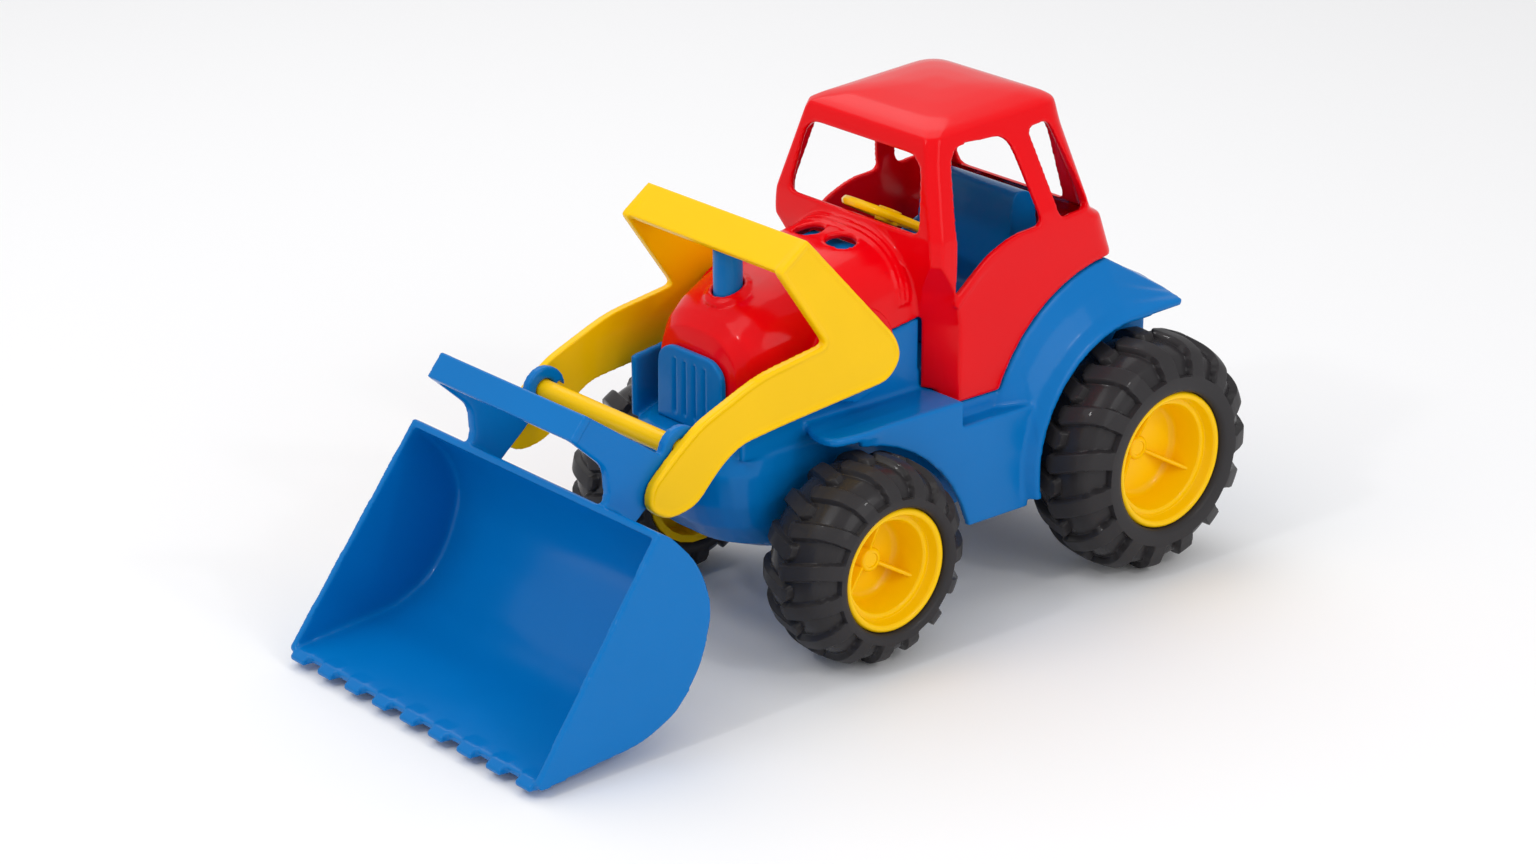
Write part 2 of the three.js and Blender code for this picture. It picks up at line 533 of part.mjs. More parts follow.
function bucket() {
  const lever = prismX([[-131, 119.5], [-124, 128], [-121.4, 125.6], [-128.3, 117.2]], -45, 45);
  return join([bucketShell(), bucketTeeth(), bothSides(bucketCheek()), lever]);
}

// ---------------------------------------------------------------- wheels
const HUB_R = 5;
const RIB_LEAN = [-30, 90, 210];  // where the ribs of a rim point, in degrees
const splitX = ({ innerX, outerX }) => innerX + (outerX - innerX) * 0.4;

function tyre(end, flip) {
  const [a, b, r] = [end.innerX, end.outerX, end.tyreR];
  const bead = end.rimR + GAP;
  const sidewall = [[bead, 1.5], [bead + 4, 0], [r - 9, 1], [r - 4.5, 3.5], [r - 1.5, 8], [r, 15]];
  const profile = [...sidewall.map(([radius, x]) => [radius, a + x]),
    ...sidewall.map(([radius, x]) => [radius, b - x]).reverse(), [bead, a + 1.5]];
  return turned(profile, end.y, end.z, TYRE_SIDES, flip);
}

// The outer half of a rim: lip, stepped dish, floor, and a hub closed over the axle end.
function outerRim(end, flip) {
  const [lip, split, r] = [end.outerX - 2, splitX(end), end.rimR];
  const hubFace = lip - end.hubDepth;
  const bore = AXLE_R + GAP;
  const floorX = split + 3.5;
  const profile = [[0, AXLE_HALF + GAP], [bore, AXLE_HALF + GAP], [bore, split], [r, split],
    [r, lip - 1.5], [r - 0.7, lip], [r - 2, lip], [r - 3, lip - 4.5], [r - 5, lip - 5],
    [r - 6.5, floorX], [HUB_R, floorX], [HUB_R, hubFace], [0, hubFace]];
  const body = turned(profile, end.y, end.z, RIM_SIDES, flip);
  const side = flip ? -1 : 1;
  const spokes = RIB_LEAN.map((degrees) => {
    const long = r - 9;
    const spoke = new THREE.BoxGeometry(hubFace - 1 - split, long, 1.8)
      .translate(side * (hubFace + split) / 2, 3 + long / 2, 0);
    return solid(spoke.rotateX(THREE.MathUtils.degToRad(degrees)).translate(0, end.y, end.z));
  });
  return join([body, ...spokes]);
}

// The inner half clamps the other bead of the tyre.
function innerRim(end, flip) {
  const [a, b, r, bore] = [end.innerX + 1, splitX(end) - GAP, end.rimR, AXLE_R + GAP];
  const profile = [[bore, a], [6, a], [6, b - 4], [r - 3, b - 4], [r - 3, a], [r, a], [r, b],
    [bore, b], [bore, a]];
  return turned(profile, end.y, end.z, RIM_SIDES, flip);
}

const axle = ({ y, z }) => rodX(AXLE_R, y, z, -AXLE_HALF, AXLE_HALF, 16);

function wheels() {
  const pieces = [];
  for (const [place, end] of [['front', FRONT], ['rear', REAR]]) {
    pieces.push(part(`${place}_axle`, axle(end), STEEL));
    for (const side of ['left', 'right']) {
      const flip = side === 'right';
      pieces.push(part(`${place}_${side}_tyre`, tyre(end, flip), TYRE));
      pieces.push(part(`${place}_${side}_outer_rim`, outerRim(end, flip), YELLOW));
      pieces.push(part(`${place}_${side}_inner_rim`, innerRim(end, flip), YELLOW));
    }
  }
  return pieces;
}

// ---------------------------------------------------------------- the toy
const toy = new THREE.Group();
const blueBody = chassis();
toy.add(
  part('chassis', blueBody.front, BLUE),
  part('rear_chassis', blueBody.rear, BLUE),
  part('left_mudguard', blueBody.leftMudguard, BLUE),
  part('right_mudguard', blueBody.rightMudguard, BLUE),
  part('cab_and_hood', cabAndHood(), RED),
  part('engine_block', engineBlock(), BLUE),
  part('grille', grille(), BLUE),
  part('exhaust_pipe', exhaustPipe(), BLUE),
  part('seat', seat(), BLUE),
  part('steering_column', steeringColumn(), BLUE),
  part('steering_wheel', steeringWheel(), YELLOW),
  part('loader_frame', loaderFrame(), YELLOW),
  part('bucket', bucket(), BLUE),
  ...SCREWS.map((place) => part(place.name, screw(place), STEEL)),
  ...wheels(),
);
const rearmost = REAR.y + REAR.tyreR * FLAT;
toy.position.y = -(TOOTH.tipY + rearmost) / 2;

export default toy;
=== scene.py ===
"""The looks of a toy front-loader tractor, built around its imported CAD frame.

Lengths in this script are in millimetres and turn into metres in the mesh helpers. Y values of
the design are counted from the front axle, as in the CAD, and `shift` moves them to the frame.
"""

import json
import math

import bmesh
import bpy
import numpy as np
from mathutils import Matrix, Vector
from mathutils.kdtree import KDTree


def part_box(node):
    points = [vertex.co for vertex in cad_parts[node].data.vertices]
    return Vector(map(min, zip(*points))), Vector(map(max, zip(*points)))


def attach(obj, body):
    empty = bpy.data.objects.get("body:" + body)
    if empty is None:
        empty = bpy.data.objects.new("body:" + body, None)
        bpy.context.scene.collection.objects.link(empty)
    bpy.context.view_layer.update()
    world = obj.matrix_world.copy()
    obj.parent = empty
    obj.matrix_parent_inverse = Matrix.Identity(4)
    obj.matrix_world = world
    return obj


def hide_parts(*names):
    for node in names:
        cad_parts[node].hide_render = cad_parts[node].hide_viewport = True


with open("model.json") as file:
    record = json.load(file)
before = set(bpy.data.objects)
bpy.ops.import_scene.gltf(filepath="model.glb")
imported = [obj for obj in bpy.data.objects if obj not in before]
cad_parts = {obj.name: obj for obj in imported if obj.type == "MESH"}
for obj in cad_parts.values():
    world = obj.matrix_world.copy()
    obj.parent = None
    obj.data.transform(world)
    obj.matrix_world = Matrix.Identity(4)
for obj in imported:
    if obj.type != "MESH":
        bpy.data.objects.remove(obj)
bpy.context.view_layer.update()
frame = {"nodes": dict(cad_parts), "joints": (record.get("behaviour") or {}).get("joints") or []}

MM = 0.001
NEAR = 0.05               # mm: two coordinates this close count as the same
joints = {joint["name"]: joint for joint in frame["joints"]}
AXLES = {
    "front": Vector(joints["front_axle_spin"]["pos_m"]),
    "rear": Vector(joints["rear_axle_spin"]["pos_m"]),
}
shift = AXLES["front"].y / MM  # where the front axle lies along the frame's Y axis


# ------------------------------------------------------------------ materials
# Noise patterns, each as its scale and its detail
CLOUDS = (22, 3)
GLOSS_PATCHES = (60, 4)
ORANGE_PEEL = (1400, 2)
PEEL_STRENGTH = 0.06
LUG_GLOSS = {"valley": 0.27, "top": 0.5}   # roughness of a tyre


def plastic(name, colour, roughness, shade=0.06, grain=0.004):
    """Moulded plastic: faint cloudy colour, uneven gloss and a fine orange-peel surface."""
    material = bpy.data.materials.new(name)
    material.use_nodes = True
    nodes, links = material.node_tree.nodes, material.node_tree.links
    shader = nodes["Principled BSDF"]
    shader.inputs["IOR"].default_value = 1.49
    shader.inputs["Specular IOR Level"].default_value = 0.16
    shader.inputs["Coat Weight"].default_value = 0.05
    shader.inputs["Coat Roughness"].default_value = 0.06
    place = nodes.new("ShaderNodeTexCoord")

    def noise(scale, detail):
        node = nodes.new("ShaderNodeTexNoise")
        node.inputs["Scale"].default_value = scale
        node.inputs["Detail"].default_value = detail
        links.new(place.outputs["Object"], node.inputs["Vector"])
        return node.outputs["Fac"]

    def ramp(source, low, high):
        node = nodes.new("ShaderNodeMapRange")
        node.inputs["To Min"].default_value = low
        node.inputs["To Max"].default_value = high
        links.new(source, node.inputs["Value"])
        return node.outputs["Result"]

    tint = nodes.new("ShaderNodeHueSaturation")
    tint.inputs["Color"].default_value = (*colour, 1)
    links.new(ramp(noise(*CLOUDS), 1 - shade, 1 + shade), tint.inputs["Value"])
    links.new(tint.outputs["Color"], shader.inputs["Base Color"])
    links.new(ramp(noise(*GLOSS_PATCHES), roughness * 0.85, roughness * 1.2), shader.inputs["Roughness"])
    bump = nodes.new("ShaderNodeBump")
    bump.inputs["Strength"].default_value = PEEL_STRENGTH
    bump.inputs["Distance"].default_value = grain * MM * 10
    links.new(noise(*ORANGE_PEEL), bump.inputs["Height"])
    links.new(bump.outputs["Normal"], shader.inputs["Normal"])
    return material


def rubber(name, colour):
    """Tyre rubber: satin lugs and glossier valleys, told apart by the mesh's lug attribute."""
    material = plastic(name, colour, 0.42, shade=0.12, grain=0.02)
    nodes, links = material.node_tree.nodes, material.node_tree.links
    shader = nodes["Principled BSDF"]
    shader.inputs["Coat Weight"].default_value = 0.1
    lug = nodes.new("ShaderNodeAttribute")
    lug.attribute_name = "lug"
    gloss = nodes.new("ShaderNodeMapRange")
    gloss.inputs["To Min"].default_value = LUG_GLOSS["valley"]
    gloss.inputs["To Max"].default_value = LUG_GLOSS["top"]
    links.new(lug.outputs["Fac"], gloss.inputs["Value"])
    links.new(gloss.outputs["Result"], shader.inputs["Roughness"])
    return material


def steel(name):
    """Bare drawn metal: the same surface detail without a clear coat."""
    material = plastic(name, (0.6, 0.61, 0.63), 0.32, shade=0.05, grain=0.01)
    shader = material.node_tree.nodes["Principled BSDF"]
    shader.inputs["Metallic"].default_value = 1
    shader.inputs["Coat Weight"].default_value = 0
    return material


RED = plastic("red_moulding", (0.80, 0.0, 0.004), 0.15)
BLUE = plastic("blue_moulding", (0.0, 0.165, 0.50), 0.22)
YELLOW = plastic("yellow_moulding", (0.96, 0.57, 0.0), 0.2)
RUBBER = rubber("tyre_rubber", (0.028, 0.026, 0.028))
STEEL = steel("bright_steel")


# ------------------------------------------------------------------ mesh helpers
def from_bmesh(name, bm):
    """Turns bm into an object with its faces turned outwards, and frees bm."""
    bmesh.ops.recalc_face_normals(bm, faces=bm.faces)
    mesh = bpy.data.meshes.new(name)
    bm.to_mesh(mesh)
    bm.free()
    obj = bpy.data.objects.new(name, mesh)
    bpy.context.scene.collection.objects.link(obj)
    return obj


def shaped(obj, *modifiers):
    """Applies modifiers, each a type and its settings, to the object's mesh."""
    for kind, settings in modifiers:
        modifier = obj.modifiers.new(kind.lower(), kind)
        for key, value in settings.items():
            setattr(modifier, key, value)
    graph = bpy.context.evaluated_depsgraph_get()
    mesh = bpy.data.meshes.new_from_object(obj.evaluated_get(graph))
    obj.modifiers.clear()
    obj.data = mesh
    return obj


SHARP = math.radians(24)  # an edge that bends more than this is kept as an edge
FLOW = {"start": 1.2, "fade": 4}   # mm from a sharp edge where flowing starts, and its ramp


def edge_points(mesh):
    """Points about 1 mm apart along the sharp edges of a mesh, for a nearest-point search."""
    bm = bmesh.new()
    bm.from_mesh(mesh)
    points = []
    for edge in bm.edges:
        if len(edge.link_faces) != 2 or edge.calc_face_angle(math.pi) > SHARP:
            a, b = (v.co for v in edge.verts)
            count = max(1, int((b - a).length / MM))
            points += [a.lerp(b, i / count) for i in range(count + 1)]
    bm.free()
    tree = KDTree(len(points))
    for i, point in enumerate(points):
        tree.insert(point, i)
    tree.balance()
    return tree


def softened(obj, voxel, rounds, keep, flow=60):
    """Melts the solids of a mesh into one skin with rounded edges like a moulding's. Surfaces
    away from the sharp edges then flow into smooth curves, and `keep` is the share of the
    faces that stays."""
    edges = edge_points(obj.data)
    shaped(
        obj,
        ("REMESH", {"mode": "VOXEL", "voxel_size": voxel * MM}),
        ("SMOOTH", {"factor": 0.5, "iterations": rounds}),
    )
    group = obj.vertex_groups.new(name="flow")
    for vert in obj.data.vertices:
        away = edges.find(vert.co)[2] / MM
        share = min(max((away - FLOW["start"]) / FLOW["fade"], 0), 1)
        if share > 0:
            group.add([vert.index], share, "REPLACE")
    shaped(
        obj,
        ("SMOOTH", {"factor": 0.5, "iterations": flow, "vertex_group": "flow"}),
        ("DECIMATE", {"ratio": keep}),
    )
    obj.vertex_groups.clear()
    return obj


def finish_piece(obj, material, body, slot, *nodes, crease=50):
    """Gives a piece its material, smooth shading and body, and hides the CAD nodes it stands for. The slot
    argument is not used.
    """
    obj.data.materials.clear()
    obj.data.materials.append(material)
    obj.data.shade_smooth()
    obj.data.set_sharp_from_angle(angle=math.radians(crease))
    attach(obj, body)
    if nodes:
        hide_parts(*nodes)
    return obj


def cad_copy(node):
    """A bmesh of a CAD node with its corners welded."""
    bm = bmesh.new()
    bm.from_mesh(frame["nodes"][node].data)
    bmesh.ops.remove_doubles(bm, verts=bm.verts, dist=0.002 * MM)
    return bm


def add_rings(bm, rings, closed=False):
    """Skins rings of points in mm into bm. An open skin gets a flat cap at either end."""
    rows = [[bm.verts.new(Vector(point) * MM) for point in ring] for ring in rings]
    count = len(rows[0])
    pairs = list(zip(rows, rows[1:]))
    if closed:
        pairs.append((rows[-1], rows[0]))
    for a, b in pairs:
        for i in range(count):
            j = (i + 1) % count
            bm.faces.new((a[i], a[j], b[j], b[i]))
    if not closed:
        bm.faces.new(rows[0])
        bm.faces.new(rows[-1])


def circle(radius, count):
    angles = [2 * math.pi * i / count for i in range(count)]
    return [(radius * math.cos(a), radius * math.sin(a)) for a in angles]


def add_tube(bm, path, radius, sides=12, closed=False, plane=None):
    """A round bead along points in mm. `plane` is the normal of the plane that they lie in."""
    points = [Vector(p) for p in path]
    rings = []
    for i, point in enumerate(points):
        before = points[i - 1] if closed or i else point
        after = points[(i + 1) % len(points)] if closed or i + 1 < len(points) else point
        along = (after - before).normalized()
        upright = Vector((0, 0, 1)) if abs(along.z) < 0.9 else Vector((1, 0, 0))
        side = along.cross(Vector(plane) if plane else upright).normalized()
        up = side.cross(along)
        rings.append([point + side * a + up * b for a, b in circle(radius, sides)])
    add_rings(bm, rings, closed)


def add_turned(bm, profile, centre, sides=96):
    """A closed profile of (radius, offset along X) turned about the X axis through centre."""
    rings = []
    for a, b in circle(1, sides):
        rings.append([(centre[0] + h, centre[1] + r * a, centre[2] + r * b) for r, h in profile])
    add_rings(bm, rings, closed=True)


def add_prism(bm, outline, x0, x1):
    """An outline of (y, z) in design mm, drawn out along X."""
    add_rings(bm, [[(x, y + shift, z) for y, z in outline] for x in (x0, x1)])


def smooth_curve(points, steps):
    """A Catmull-Rom curve through points, with steps pieces between each two."""
    p = np.array(points, float)
    p = np.vstack([2 * p[0] - p[1], p, 2 * p[-1] - p[-2]])
    out = []
    for i in range(1, len(p) - 2):
        for k in range(steps):
            t = k / steps
            out.append(0.5 * (2 * p[i] + (p[i + 1] - p[i - 1]) * t
                              + (2 * p[i - 1] - 5 * p[i] + 4 * p[i + 1] - p[i + 2]) * t ** 2
                              + (3 * p[i] - p[i - 1] - 3 * p[i + 1] + p[i + 2]) * t ** 3))
    out.append(p[-2])
    return np.array(out)


# ------------------------------------------------------------------ tyres
LUGS = 15                 # on each half of a tyre
LUG_LEAN = 8.5            # degrees that a lug's outer end is turned back
LUG_ANGLE = 9.5           # degrees of a lug's width on the tread
SHOULDER_ANGLE = 12.5     # and where it wraps over the shoulder
SHOULDER_START = 0.6      # where that begins, as a share of the tyre's half width
STEPS = 40                # slices of the tyre for each lug
LUG = {"overlap": 3.2, "corner": 2.6, "edge": 0.9}   # its inner end and its rounding, in mm
TREAD = {                 # lug height, and from the crown down to the flat sidewall
    "front": {"depth": 2.5, "wall": 12.0},
    "rear": {"depth": 3.0, "wall": 14.0},
}


def lug_height(across, around, wide):
    """How far up a lug a point is, from 0 on the valley floor to 1 on the lug's top.

    The lug is a bar with a round inner end just over the middle of the tread, and `across` and
    `around` are mm from the middle of the tread and from the lug's middle line."""
    overlap, corner, edge = LUG["overlap"], LUG["corner"], LUG["edge"]
    reach_x = np.maximum(-(across + overlap) + corner, 0)
    reach_y = np.maximum(np.abs(around) - wide / 2 + corner, 0)
    straight = np.abs(around) - wide / 2
    distance = np.where(reach_x > 0, np.hypot(reach_x, reach_y) - corner, straight)
    rise = np.clip(0.5 - distance / edge, 0, 1)
    return rise * rise * (3 - 2 * rise)


def tyre(place, side):
    """A tractor tyre with two rows of lugs that lean back and wrap over the shoulders. The lugs
    of one row stand opposite the valleys of the other, and each valley ends in a square step at
    the flat sidewall."""
    node = f"{place}_{side}_tyre"
    low, high = (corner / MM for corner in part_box(node))
    axle = AXLES[place] / MM
    radius, half, middle = axle.z, (high.x - low.x) / 2, (high.x + low.x) / 2
    rim = (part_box(f"{place}_{side}_outer_rim")[1].z / MM) - axle.z
    bead, wall, depth = rim + 0.35, radius - TREAD[place]["wall"], TREAD[place]["depth"]
    crown = smooth_curve([
        (half, wall), (half - 1.3, wall + 3.4), (half - 3.9, radius - 5.2), (half - 8, radius - 2.4),
        (half - 13, radius - 0.8), (0, radius),
    ], 9)
    sidewall = [(half - 2.5, bead), (half - 0.7, bead + 0.6), (half, bead + 2.2), (half, wall - 0.5)]
    one = np.array(sidewall + [tuple(point) for point in crown])
    across = np.vstack([one, one[-2::-1] * (-1, 1)])
    x, r = across[:, 0], across[:, 1]
    slope = np.gradient(across, axis=0)
    normal = np.stack([-slope[:, 1], slope[:, 0]], 1)
    normal /= np.linalg.norm(normal, axis=1)[:, None]
    if normal[len(one) - 1, 1] < 0:
        normal = -normal

    turns = STEPS * LUGS
    pitch = 2 * math.pi / LUGS
    phase = (np.arange(turns) + 0.5) / turns * 2 * math.pi
    lean = math.radians(LUG_LEAN) * np.abs(x) / half
    shoulder = np.clip((np.abs(x) / half - SHOULDER_START) / (1 - SHOULDER_START), 0, 1) ** 2
    wide = np.radians(LUG_ANGLE + (SHOULDER_ANGLE - LUG_ANGLE) * shoulder) * r
    raised = np.zeros((turns, len(x)))
    for row, start in ((1, 0), (-1, 0.5)):
        off = (phase / pitch + start) % 1 - 0.5
        around = off[:, None] * pitch * r[None, :]
        raised = np.maximum(raised, lug_height(row * x[None, :], around, wide[None, :]))
    raised = np.maximum(raised, (r < wall)[None, :])

    bm = bmesh.new()
    layer = bm.verts.layers.float.new("lug")
    outward = 1 if side == "left" else -1
    inside = [(-(half - 6), bead), (half - 6, bead)]
    rows = []
    for i, angle in enumerate(phase):
        sunk = depth * (1 - raised[i])
        ring = [(x[k] - normal[k, 0] * sunk[k], r[k] - normal[k, 1] * sunk[k], angle - lean[k], raised[i, k])
                for k in range(len(x))]
        ring += [(px, pr, angle - lean[0], 1.0) for px, pr in inside]
        row = []
        for px, pr, turn, value in ring:
            place_at = (middle + outward * px, axle.y - pr * math.sin(turn), axle.z + pr * math.cos(turn))
            vert = bm.verts.new(Vector(place_at) * MM)
            vert[layer] = value
            row.append(vert)
        rows.append(row)
    for row, after in zip(rows, rows[1:] + rows[:1]):
        for k in range(len(row)):
            j = (k + 1) % len(row)
            bm.faces.new((row[k], row[j], after[j], after[k]))
    obj = from_bmesh(f"{place}_{side}_treaded_tyre", bm)
    return finish_piece(obj, RUBBER, f"{place}_wheels", "tyre_rubber", node)


# ------------------------------------------------------------------ rims
RIM_DEPTH = {"front": 14, "rear": 18}     # from the lip in to the hub's face
RIB_LEAN = (-30, 90, 210)                 # where the ribs of a rim point, in degrees


def rim(place, side):
    """The outer rim half: a rolled lip, a stepped dish, three thin ribs and a round hub."""
    node = f"{place}_{side}_outer_rim"
    low, high = (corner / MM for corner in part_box(node))
    axle = AXLES[place] / MM
    radius = high.z - axle.z + 0.15
    outward = 1 if side == "left" else -1
    lip, split = (high.x, low.x) if outward > 0 else (-low.x, -high.x)
    hub = lip - RIM_DEPTH[place]
    floor = split + 3.5
    profile = [
        (4.4, split), (radius, split), (radius, lip - 1.8), (radius - 0.3, lip - 0.7),
        (radius - 1.0, lip - 0.1), (radius - 1.8, lip), (radius - 2.6, lip - 0.3), (radius - 3.2, lip - 1.2),
        (radius - 3.6, lip - 4.4), (radius - 4.1, lip - 5.0), (radius - 5.0, lip - 4.9),
        (radius - 6.0, lip - 5.0), (radius - 6.6, lip - 5.8),
        (radius - 7.6, floor + 3.0), (radius - 9.0, floor + 0.6), (radius - 11, floor), (4.4, floor),
    ]
    bm = bmesh.new()
    add_turned(bm, [(r, outward * x) for r, x in profile], (0, axle.y, axle.z))
    cap = [(0.01, split + 1), (5, split + 1), (5, hub - 1), (4.6, hub - 0.3), (3.9, hub), (3.1, hub),
           (2.8, hub - 0.5), (0.01, hub - 0.5)]
    add_turned(bm, [(r, outward * x) for r, x in cap], (0, axle.y, axle.z), 48)
    reach = radius - 6.8
    ribs = [(3.5, hub - 1.2), (reach, lip - 8.5)]
    for degrees in RIB_LEAN:
        turn = math.radians(degrees)
        rings = []
        for along, top in ribs:
            ring = []
            for across, height in ((1.0, floor - 1), (0.8, top - 0.5), (0.4, top), (-0.4, top),
                                   (-0.8, top - 0.5), (-1.0, floor - 1)):
                ring.append((outward * height,
                             axle.y + along * math.cos(turn) - across * math.sin(turn),
                             axle.z + along * math.sin(turn) + across * math.cos(turn)))
            rings.append(ring)
        add_rings(bm, rings)
    obj = from_bmesh(f"{place}_{side}_dished_rim", bm)
    return finish_piece(obj, YELLOW, f"{place}_wheels", "yellow_plastic", node)


for place in ("front", "rear"):
    for side in ("left", "right"):
        tyre(place, side)
        rim(place, side)


# ------------------------------------------------------------------ red cab and hood
HOOD_SLOPE = 0.38         # how steeply the hood rises towards the cab
SILL = {"x": 49, "bead": 1.1, "line": [(58, 129), (63, 133.8), (74, 142.2), (90, 149.2), (108, 150.2)]}
COLLAR = [{"radius": 8.2, "z": 140.2, "bead": 1.5}, {"radius": 7.1, "z": 141.7, "bead": 1.0}]
RIDGE = {"half": 34.7, "foot": 127.4, "rise": 27.4, "bead": 0.95, "ends": 0.05, "steps": 40}
RIDGES = [(40.6, -0.2), (43, 0.6), (45.4, 1.4)]      # each ridge's y, and how much higher it is


def cowl_ridge(y, higher):
    """The line of a ridge over the cowl, from one side of the hood to the other."""
    line = []
    for angle in np.linspace(RIDGE["ends"], math.pi - RIDGE["ends"], RIDGE["steps"]):
        c, s = math.cos(angle), math.sin(angle)
        x = RIDGE["half"] * math.copysign(abs(c) ** 0.72, c)
        line.append((x, y + shift, RIDGE["foot"] + (RIDGE["rise"] + higher) * s ** 0.8))
    return line


def cab_and_hood():
    """The CAD's shape with a bead along each door sill, a collar and ridges over the cowl."""
    bm = cad_copy("cab_and_hood")
    for outward in (1, -1):
        sill = [(outward * SILL["x"], y + shift, z) for y, z in smooth_curve(SILL["line"], 5)]
        add_tube(bm, sill, SILL["bead"])
    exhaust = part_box("exhaust_pipe")
    middle = (exhaust[0] + exhaust[1]) / 2 / MM
    for ring in COLLAR:
        points = [(middle.x + a, middle.y + b, ring["z"] + HOOD_SLOPE * b)
                  for a, b in circle(ring["radius"], 40)]
        add_tube(bm, points, ring["bead"], closed=True)
    for y, higher in RIDGES:
        add_tube(bm, cowl_ridge(y, higher), RIDGE["bead"], plane=(0, 1, 0))
    obj = softened(from_bmesh("cab_and_hood_moulding", bm), voxel=0.7, rounds=8, keep=0.4)
    finish_piece(obj, RED, "body", "red_plastic", "cab_and_hood")


# ------------------------------------------------------------------ blue mouldings
CHASSIS = ("chassis", "rear_chassis", "left_mudguard", "right_mudguard")
CUT_Y, CUT_X, OVERLAP = 94.5, 41.8, 0.6   # the CAD's cuts, and how far their faces are moved


def chassis():
    """One moulding: its four nodes meet here across the gaps that the CAD leaves."""
    bm = bmesh.new()
    for name in CHASSIS:
        bm.from_mesh(frame["nodes"][name].data)
    for vert in bm.verts:
        if abs(vert.co.y / MM - shift - CUT_Y) < NEAR:
            vert.co.y -= OVERLAP * MM
        if abs(abs(vert.co.x) / MM - CUT_X) < NEAR:
            vert.co.x -= math.copysign(OVERLAP * MM, vert.co.x)
    obj = softened(from_bmesh("chassis_moulding", bm), voxel=0.85, rounds=7, keep=0.3)
    finish_piece(obj, BLUE, "body", "blue_plastic", *CHASSIS)


BUCKET = {"half": 80.7, "top_half": 77.3, "top_z": 88, "wall": 3}
BUCKET_BACK = [
    (-115.4, 89), (-108.3, 84), (-99.3, 73.5), (-94, 62.4), (-92.4, 50.5), (-95.5, 38.5), (-100.2, 28.2),
    (-108.6, 18), (-116.6, 12.9), (-128.8, 8.4), (-147.5, 6.4), (-174.5, 3.8),
]
LIP = (-176.3, 6.6)       # the front corner of the side plates
TEETH = {"count": 9, "pitch": 18.2, "width": 9}
TOOTH = [(-168, 4.2), (-172, 3.2), (-178.1, 2.9), (-178.1, 5.1), (-174.4, 7.2), (-168, 7.4)]
LEVER = {"half": 45, "outline": [(-131, 119.5), (-124, 128), (-121.4, 125.6), (-128.3, 117.2)]}
CHEEK_X = (39.5, 44.2)    # the cheeks with the clips lie between these


def bucket():
    """A curved back and floor between two side plates, with teeth, cheeks, clips and a lever."""
    bm = bmesh.new()
    half, wall = BUCKET["half"], BUCKET["wall"]
    back = smooth_curve(BUCKET_BACK, 6)
    slope = np.gradient(back, axis=0)
    normal = np.stack([slope[:, 1], -slope[:, 0]], 1)
    normal /= np.linalg.norm(normal, axis=1)[:, None]
    inner = back + normal * wall
    add_prism(bm, [*back, *inner[::-1]], -half, half)
    plate = [*back, LIP]
    for outward in (-1, 1):
        add_prism(bm, plate, outward * (half - wall), outward * half)
    for vert in bm.verts:
        vert.co.x *= 1 - (1 - BUCKET["top_half"] / half) * (vert.co.z / MM / BUCKET["top_z"])
    for i in range(TEETH["count"]):
        x = (i - (TEETH["count"] - 1) / 2) * TEETH["pitch"]
        add_prism(bm, TOOTH, x - TEETH["width"] / 2, x + TEETH["width"] / 2)
    add_prism(bm, LEVER["outline"], -LEVER["half"], LEVER["half"])
    cheeks = cad_copy("bucket")
    cut = [v for v in cheeks.verts if not CHEEK_X[0] * MM < abs(v.co.x) < CHEEK_X[1] * MM]
    bmesh.ops.delete(cheeks, geom=cut, context="VERTS")
    bmesh.ops.holes_fill(cheeks, edges=[e for e in cheeks.edges if e.is_boundary], sides=0)
    cheeks_mesh = bpy.data.meshes.new("cheeks")
    cheeks.to_mesh(cheeks_mesh)
    cheeks.free()
    bm.from_mesh(cheeks_mesh)
    obj = softened(from_bmesh("bucket_moulding", bm), voxel=0.7, rounds=5, keep=0.35)
    finish_piece(obj, BLUE, "bucket", "blue_plastic", "bucket")


def small_moulding(node, body, material, slot, voxel=0.5):
    """A CAD node with softened edges."""
    obj = softened(from_bmesh(f"{node}_moulding", cad_copy(node)), voxel, rounds=6, keep=0.5)
    finish_piece(obj, material, body, slot, node)


# ------------------------------------------------------------------ yellow loader frame
BEAD = {"radius": 1.1, "inset": 1.2, "sunk": 0.5, "fewest": 8}   # fewest: corners of its loop
SHARPEST = 0.4            # keeps a bead's corner near its edge where the edge turns sharply


def edge_loops(faces):
    """The closed loops of corner points around a patch of faces."""
    chosen = set(faces)
    after = {}
    for face in faces:
        for loop in face.loops:
            if sum(other in chosen for other in loop.edge.link_faces) == 1:
                after[loop.vert] = loop.link_loop_next.vert
    loops = []
    while after:
        start, vert = after.popitem()
        loop = [start]
        while vert is not start:
            loop.append(vert)
            vert = after.pop(vert)
        loops.append([v.co / MM for v in loop])
    return loops


def inset_loop(loop, x, inset):
    """A loop moved into its patch by `inset`, at the height x."""
    normal = sum((a.cross(b) for a, b in zip(loop, loop[1:] + loop[:1])), Vector()).normalized()
    moved = []
    for i, point in enumerate(loop):
        before, after = point - loop[i - 1], loop[(i + 1) % len(loop)] - point
        inward = (normal.cross(before.normalized()) + normal.cross(after.normalized())).normalized()
        spread = max(inward.dot(normal.cross(after.normalized())), SHARPEST)
        corner = point + inward * inset / spread
        moved.append((x, corner.y, corner.z))
    return moved


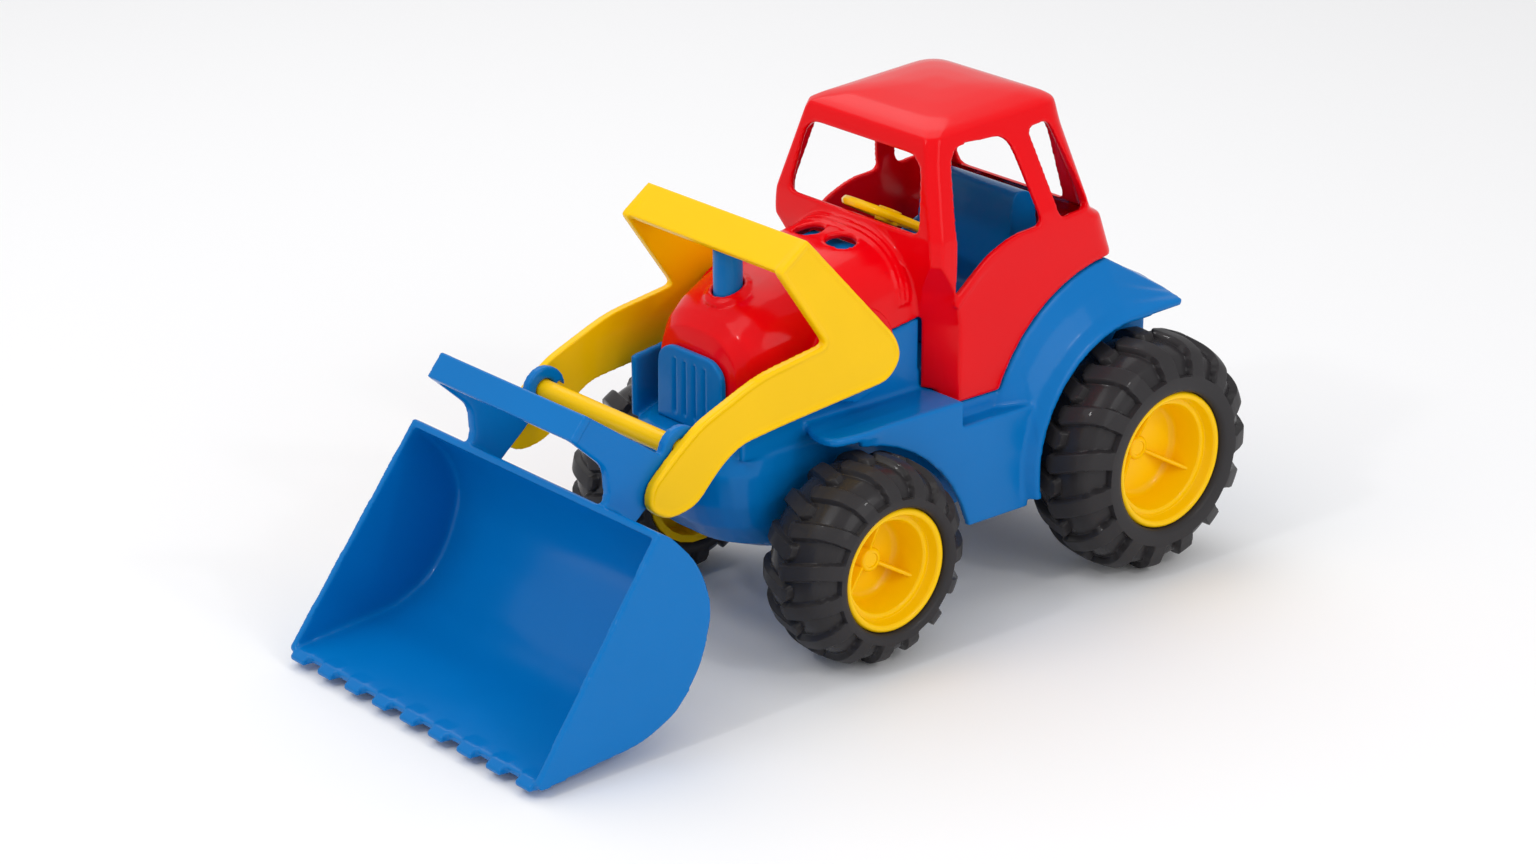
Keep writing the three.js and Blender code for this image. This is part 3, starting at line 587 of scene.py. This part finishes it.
def loader_frame():
    """The arms carry a raised bead along the edges of their outer faces."""
    bm = cad_copy("loader_frame")
    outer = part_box("loader_frame")[1].x
    beads = []
    for outward in (1, -1):
        faces = [f for f in bm.faces if all(abs(v.co.x - outward * outer) < NEAR * MM for v in f.verts)]
        x = outward * (outer / MM - BEAD["sunk"])
        beads += [inset_loop(loop, x, BEAD["inset"]) for loop in edge_loops(faces)
                  if len(loop) > BEAD["fewest"]]
    for bead in beads:
        add_tube(bm, bead, BEAD["radius"], closed=True, plane=(1, 0, 0))
    obj = softened(from_bmesh("loader_frame_moulding", bm), voxel=0.55, rounds=5, keep=0.5)
    finish_piece(obj, YELLOW, "loader", "yellow_plastic", "loader_frame")


cab_and_hood()
chassis()
bucket()
loader_frame()
for node in ("engine_block", "grille", "exhaust_pipe", "seat", "steering_column"):
    small_moulding(node, "body", BLUE, "blue_plastic")
small_moulding("steering_wheel", "steering", YELLOW, "yellow_plastic", 0.4)

# CAD nodes that stay as they are get the detailed materials
for name, obj in frame["nodes"].items():
    if name.endswith("_inner_rim"):
        obj.data.materials.clear()
        obj.data.materials.append(YELLOW)
    if name.endswith("_axle") or "_screw_" in name:
        obj.data.materials.clear()
        obj.data.materials.append(STEEL)


# ------------------------------------------------------------------ floor, light and camera
LAMPS = {                 # place in metres, width in metres, watts
    "key": ((-0.2, -1.0, 1.5), 1.1, 5.5),
    "top": ((-0.7, 0.3, 1.3), 1.2, 4.5),
    "side": ((1.5, 0.1, 0.8), 1.2, 5.5),
    "glint_front": ((0.1, -1.2, 1.2), 0.12, 2),
    "glint_side": ((1.3, 0.2, 1.1), 0.12, 1.5),
}
AIM = Vector((0, 0, 0.08))
WORLD_STRENGTH = 0.68


def floor():
    bm = bmesh.new()
    bmesh.ops.create_grid(bm, x_segments=8, y_segments=8, size=4)
    obj = from_bmesh("floor", bm)
    material = bpy.data.materials.new("pale_floor")
    material.use_nodes = True
    shader = material.node_tree.nodes["Principled BSDF"]
    shader.inputs["Base Color"].default_value = (0.93, 0.93, 0.94, 1)
    shader.inputs["Roughness"].default_value = 0.7
    obj.data.materials.append(material)


def area_light(name, place, size, watts):
    light = bpy.data.lights.new(name, "AREA")
    light.shape = "DISK"
    light.size = size
    light.energy = watts
    obj = bpy.data.objects.new(name, light)
    obj.location = place
    obj.rotation_euler = (AIM - Vector(place)).to_track_quat("-Z", "Y").to_euler()
    bpy.context.scene.collection.objects.link(obj)


CAMERA = {                # degrees and mm, seen from the foot of the front axle
    "azimuth": 49.523, "elevation": 21.323, "distance": 1627.85,
    "across": 1.938, "up": 71.421, "lens": 94.03,
}


def camera():
    azimuth, elevation = (math.radians(CAMERA[key]) for key in ("azimuth", "elevation"))
    back = Vector((math.cos(elevation) * math.sin(azimuth), -math.cos(elevation) * math.cos(azimuth),
                   math.sin(elevation)))
    right = Vector((math.cos(azimuth), math.sin(azimuth), 0))
    up = back.cross(right)
    data = bpy.data.cameras.new("camera")
    data.lens = CAMERA["lens"]
    data.sensor_width = 36
    obj = bpy.data.objects.new("camera", data)
    foot = Vector((0, shift, 0))
    obj.location = (foot + back * CAMERA["distance"] + right * CAMERA["across"] + up * CAMERA["up"]) * MM
    obj.rotation_euler = Matrix((right, up, back)).transposed().to_euler()
    bpy.context.scene.collection.objects.link(obj)
    bpy.context.scene.camera = obj


def studio():
    world = bpy.data.worlds.new("studio")
    world.use_nodes = True
    world.node_tree.nodes["Background"].inputs["Color"].default_value = (1, 1, 1, 1)
    world.node_tree.nodes["Background"].inputs["Strength"].default_value = WORLD_STRENGTH
    bpy.context.scene.world = world
    bpy.context.scene.view_settings.view_transform = "Standard"
    for name, (place, size, watts) in LAMPS.items():
        area_light(name, place, size, watts)


floor()
studio()
camera()
